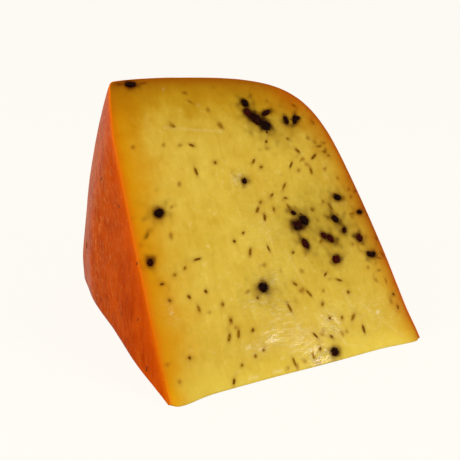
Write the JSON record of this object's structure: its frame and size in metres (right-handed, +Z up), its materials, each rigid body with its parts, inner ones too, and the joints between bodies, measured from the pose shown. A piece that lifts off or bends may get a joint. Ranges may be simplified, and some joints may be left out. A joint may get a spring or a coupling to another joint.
{
  "type": "cheese wedge with cloves and cumin",
  "caption": "Wedge of firm yellow cheese with cloves and cumin seeds, cut from a flat wheel with an orange coat; one sharp and one round shoulder; lies on a cut face.",
  "frame": {"origin": "under the middle of the wedge's bounding box, on the surface that it lies on", "axes": "+X from the flat, sharp-cornered base of the wheel to its domed top; +Y from the tip edge to the rim; +Z up"},
  "size_m": [0.1278, 0.1432, 0.1141],
  "materials": {
    "cheese": "satin, slightly oily cut paste",
    "coat": "thin glossy orange coat with fine mottling",
    "clove": "dark, damp, finely rough",
    "cumin": "brown, ridged, damp"
  },
  "bodies": {
    "root": {"cheese_wedge": "cheese"}
  },
  "joints": []
}
